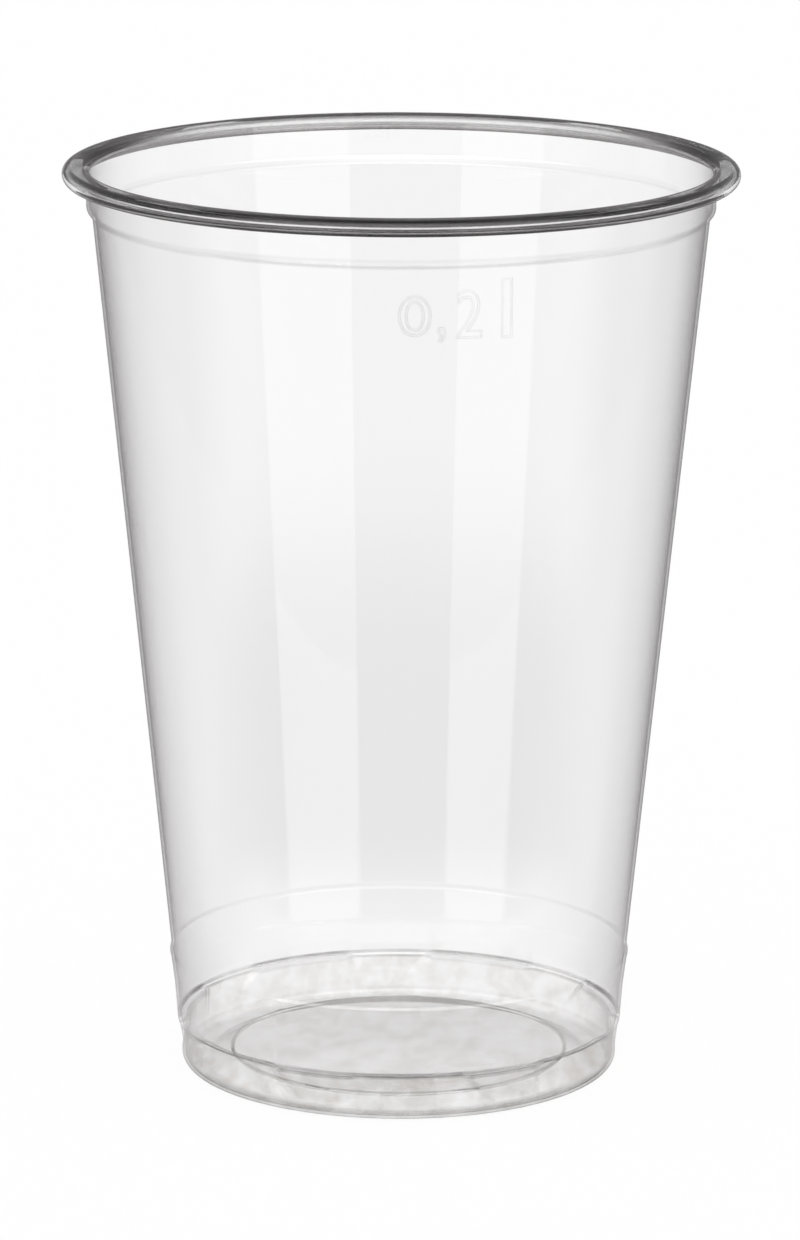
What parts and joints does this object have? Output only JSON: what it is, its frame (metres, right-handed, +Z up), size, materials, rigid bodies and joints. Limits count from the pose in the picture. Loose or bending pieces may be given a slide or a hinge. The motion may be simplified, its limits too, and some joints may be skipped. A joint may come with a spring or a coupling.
{
  "type": "plastic tumbler cup",
  "caption": "Clear plastic drinking cup with a tapered thin wall, a rolled rim, a stepped collar, and a stacking ledge broken by flush lugs above a raised floor.",
  "frame": {"origin": "on the cup's axis, in the plane that the foot stands on", "axes": "+Z up along the axis to the mouth, -Y the front with the capacity figure, +X to the right seen from the front"},
  "size_m": [0.07, 0.07, 0.096],
  "materials": {
    "clear_sheet": "clear glossy PET sheet, thermoformed"
  },
  "bodies": {
    "root": {"cup": "clear_sheet"}
  },
  "joints": []
}
